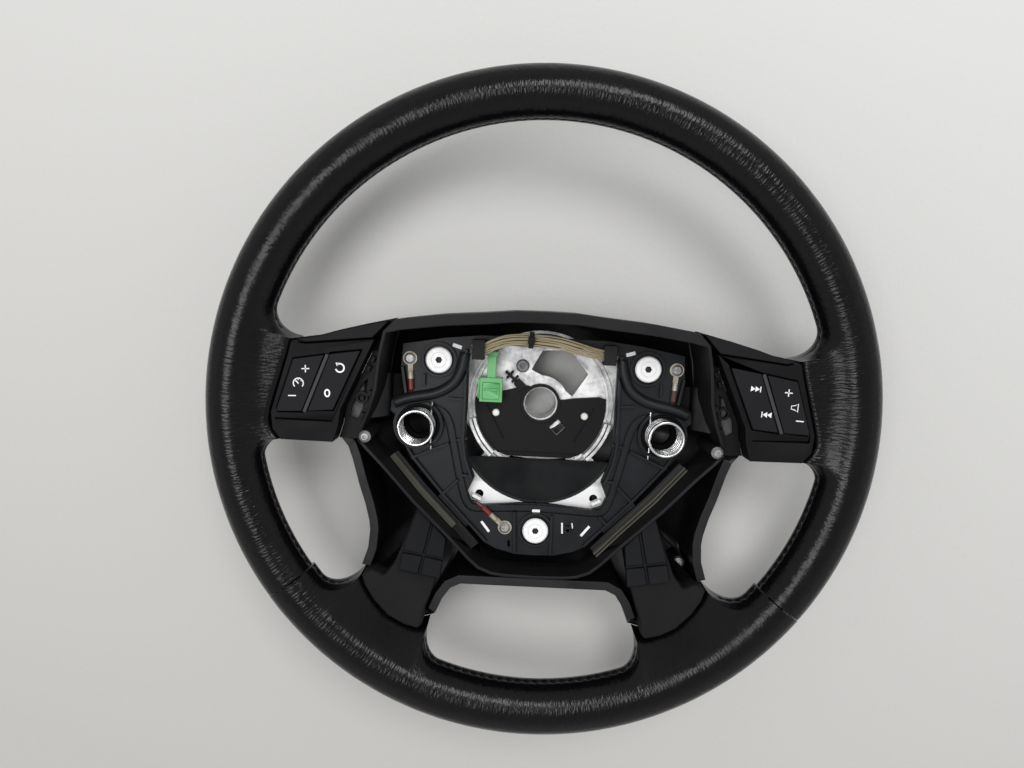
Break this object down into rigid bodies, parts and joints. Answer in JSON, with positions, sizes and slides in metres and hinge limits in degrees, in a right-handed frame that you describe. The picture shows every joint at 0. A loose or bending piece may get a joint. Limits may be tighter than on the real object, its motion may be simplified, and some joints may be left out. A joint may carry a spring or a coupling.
{
  "type": "car steering wheel",
  "caption": "Leather car steering wheel with alloy armature, switch pods and open air bag bay, driver air bag removed.",
  "frame": {"origin": "centre of the column bore at the hub's rear face", "axes": "+Z along the column to the driver, +Y to twelve o'clock, +X to the right"},
  "size_m": [0.385, 0.385, 0.0856],
  "materials": {
    "black_plastic": "moulded black",
    "carrier_plastic": "moulded blue grey",
    "casting": "raw cast light alloy",
    "channel_plastic": "moulded dark grey",
    "contact_steel": "bright plated",
    "felt": "grey beige felt",
    "frame_plastic": "satin dark grey",
    "green_plastic": "pale green",
    "key_plastic": "soft touch dark grey",
    "leather": "black grained leather",
    "leg_foam": "skinned black foam",
    "loom_grey": "grey",
    "pad_plastic": "matt dark grey",
    "pod_plastic": "fine grained black",
    "red_sleeve": "red shrink sleeve",
    "screw_steel": "zinc plated",
    "shell_plastic": "grained black",
    "spring_steel": "bright spring wire",
    "tan_wire": "tan insulation",
    "terminal_brass": "tinned brass",
    "white_plastic": "moulded white"
  },
  "bodies": {
    "root": {"armature": "casting", "rim_grip_upper": "leather", "rim_grip_lower": "leather", "back_cover": "shell_plastic", "bay_frame": "frame_plastic", "spoke_foam_left": "leg_foam", "spoke_foam_right": "leg_foam", "spoke_pad_left": "pad_plastic", "spoke_pad_right": "pad_plastic", "seal_strip_left": "felt", "seal_strip_right": "felt", "carrier_plate": "carrier_plastic", "cable_cover_left": "channel_plastic", "cable_cover_right": "channel_plastic", "horn_contact_left": "contact_steel", "horn_contact_right": "contact_steel", "horn_contact_bottom": "contact_steel", "horn_spring_left": "spring_steel", "horn_spring_right": "spring_steel", "spring_cup_left": "black_plastic", "spring_cup_right": "black_plastic", "retaining_wire_left": "spring_steel", "retaining_wire_right": "spring_steel", "ring_terminal_left": "terminal_brass", "ring_terminal_right": "terminal_brass", "ring_terminal_bottom": "terminal_brass", "terminal_screw_left": "screw_steel", "terminal_screw_right": "screw_steel", "terminal_screw_bottom": "screw_steel", "lead_left": "red_sleeve", "lead_right": "red_sleeve", "lead_bottom": "red_sleeve", "hub_cover": "black_plastic", "hub_bowl": "carrier_plastic", "hub_pins": "white_plastic", "hub_screw": "screw_steel", "bag_connector": "green_plastic", "loom_ribbon": "tan_wire", "cable_tie": "black_plastic", "loom_clip_left": "loom_grey", "loom_clip_right": "loom_grey", "pod_left": "pod_plastic", "pod_right": "pod_plastic", "pod_bracket_left": "black_plastic", "pod_bracket_right": "black_plastic", "trim_strip_right": "pod_plastic", "housing_screw_left": "screw_steel", "housing_screw_right": "screw_steel", "lower_screw": "screw_steel"},
    "key_speed": {"key_speed": "key_plastic"},
    "key_resume": {"key_resume": "key_plastic"},
    "key_skip": {"key_skip": "key_plastic"},
    "key_volume": {"key_volume": "key_plastic"},
    "bar_key": {"bar_key_left": "pod_plastic"}
  },
  "joints": [
    {"name": "speed_rocker", "type": "hinge", "parent": "root", "child": "key_speed", "pos_m": [-0.13745, 0.01185, 0.065], "axis": [0.9996, 0.0299, 0], "range_deg": [-2.5, 2.5], "stiffness_Nm_per_rad": 0.05},
    {"name": "resume_rocker", "type": "hinge", "parent": "root", "child": "key_resume", "pos_m": [-0.11857, 0.01342, 0.065], "axis": [0.992, 0.1266, 0], "range_deg": [-2.5, 2.5], "stiffness_Nm_per_rad": 0.05},
    {"name": "skip_rocker", "type": "hinge", "parent": "root", "child": "key_skip", "pos_m": [0.11857, 0.01342, 0.065], "axis": [0.992, -0.1266, 0], "range_deg": [-2.5, 2.5], "stiffness_Nm_per_rad": 0.05},
    {"name": "volume_rocker", "type": "hinge", "parent": "root", "child": "key_volume", "pos_m": [0.13745, 0.01185, 0.065], "axis": [0.9996, -0.0299, 0], "range_deg": [-2.5, 2.5], "stiffness_Nm_per_rad": 0.05},
    {"name": "bar_key_press", "type": "slide", "parent": "root", "child": "bar_key", "axis": [0, 0, -1], "range_m": [0, 0.0008], "stiffness_N_per_m": 400, "springref_m": -0.0002}
  ]
}
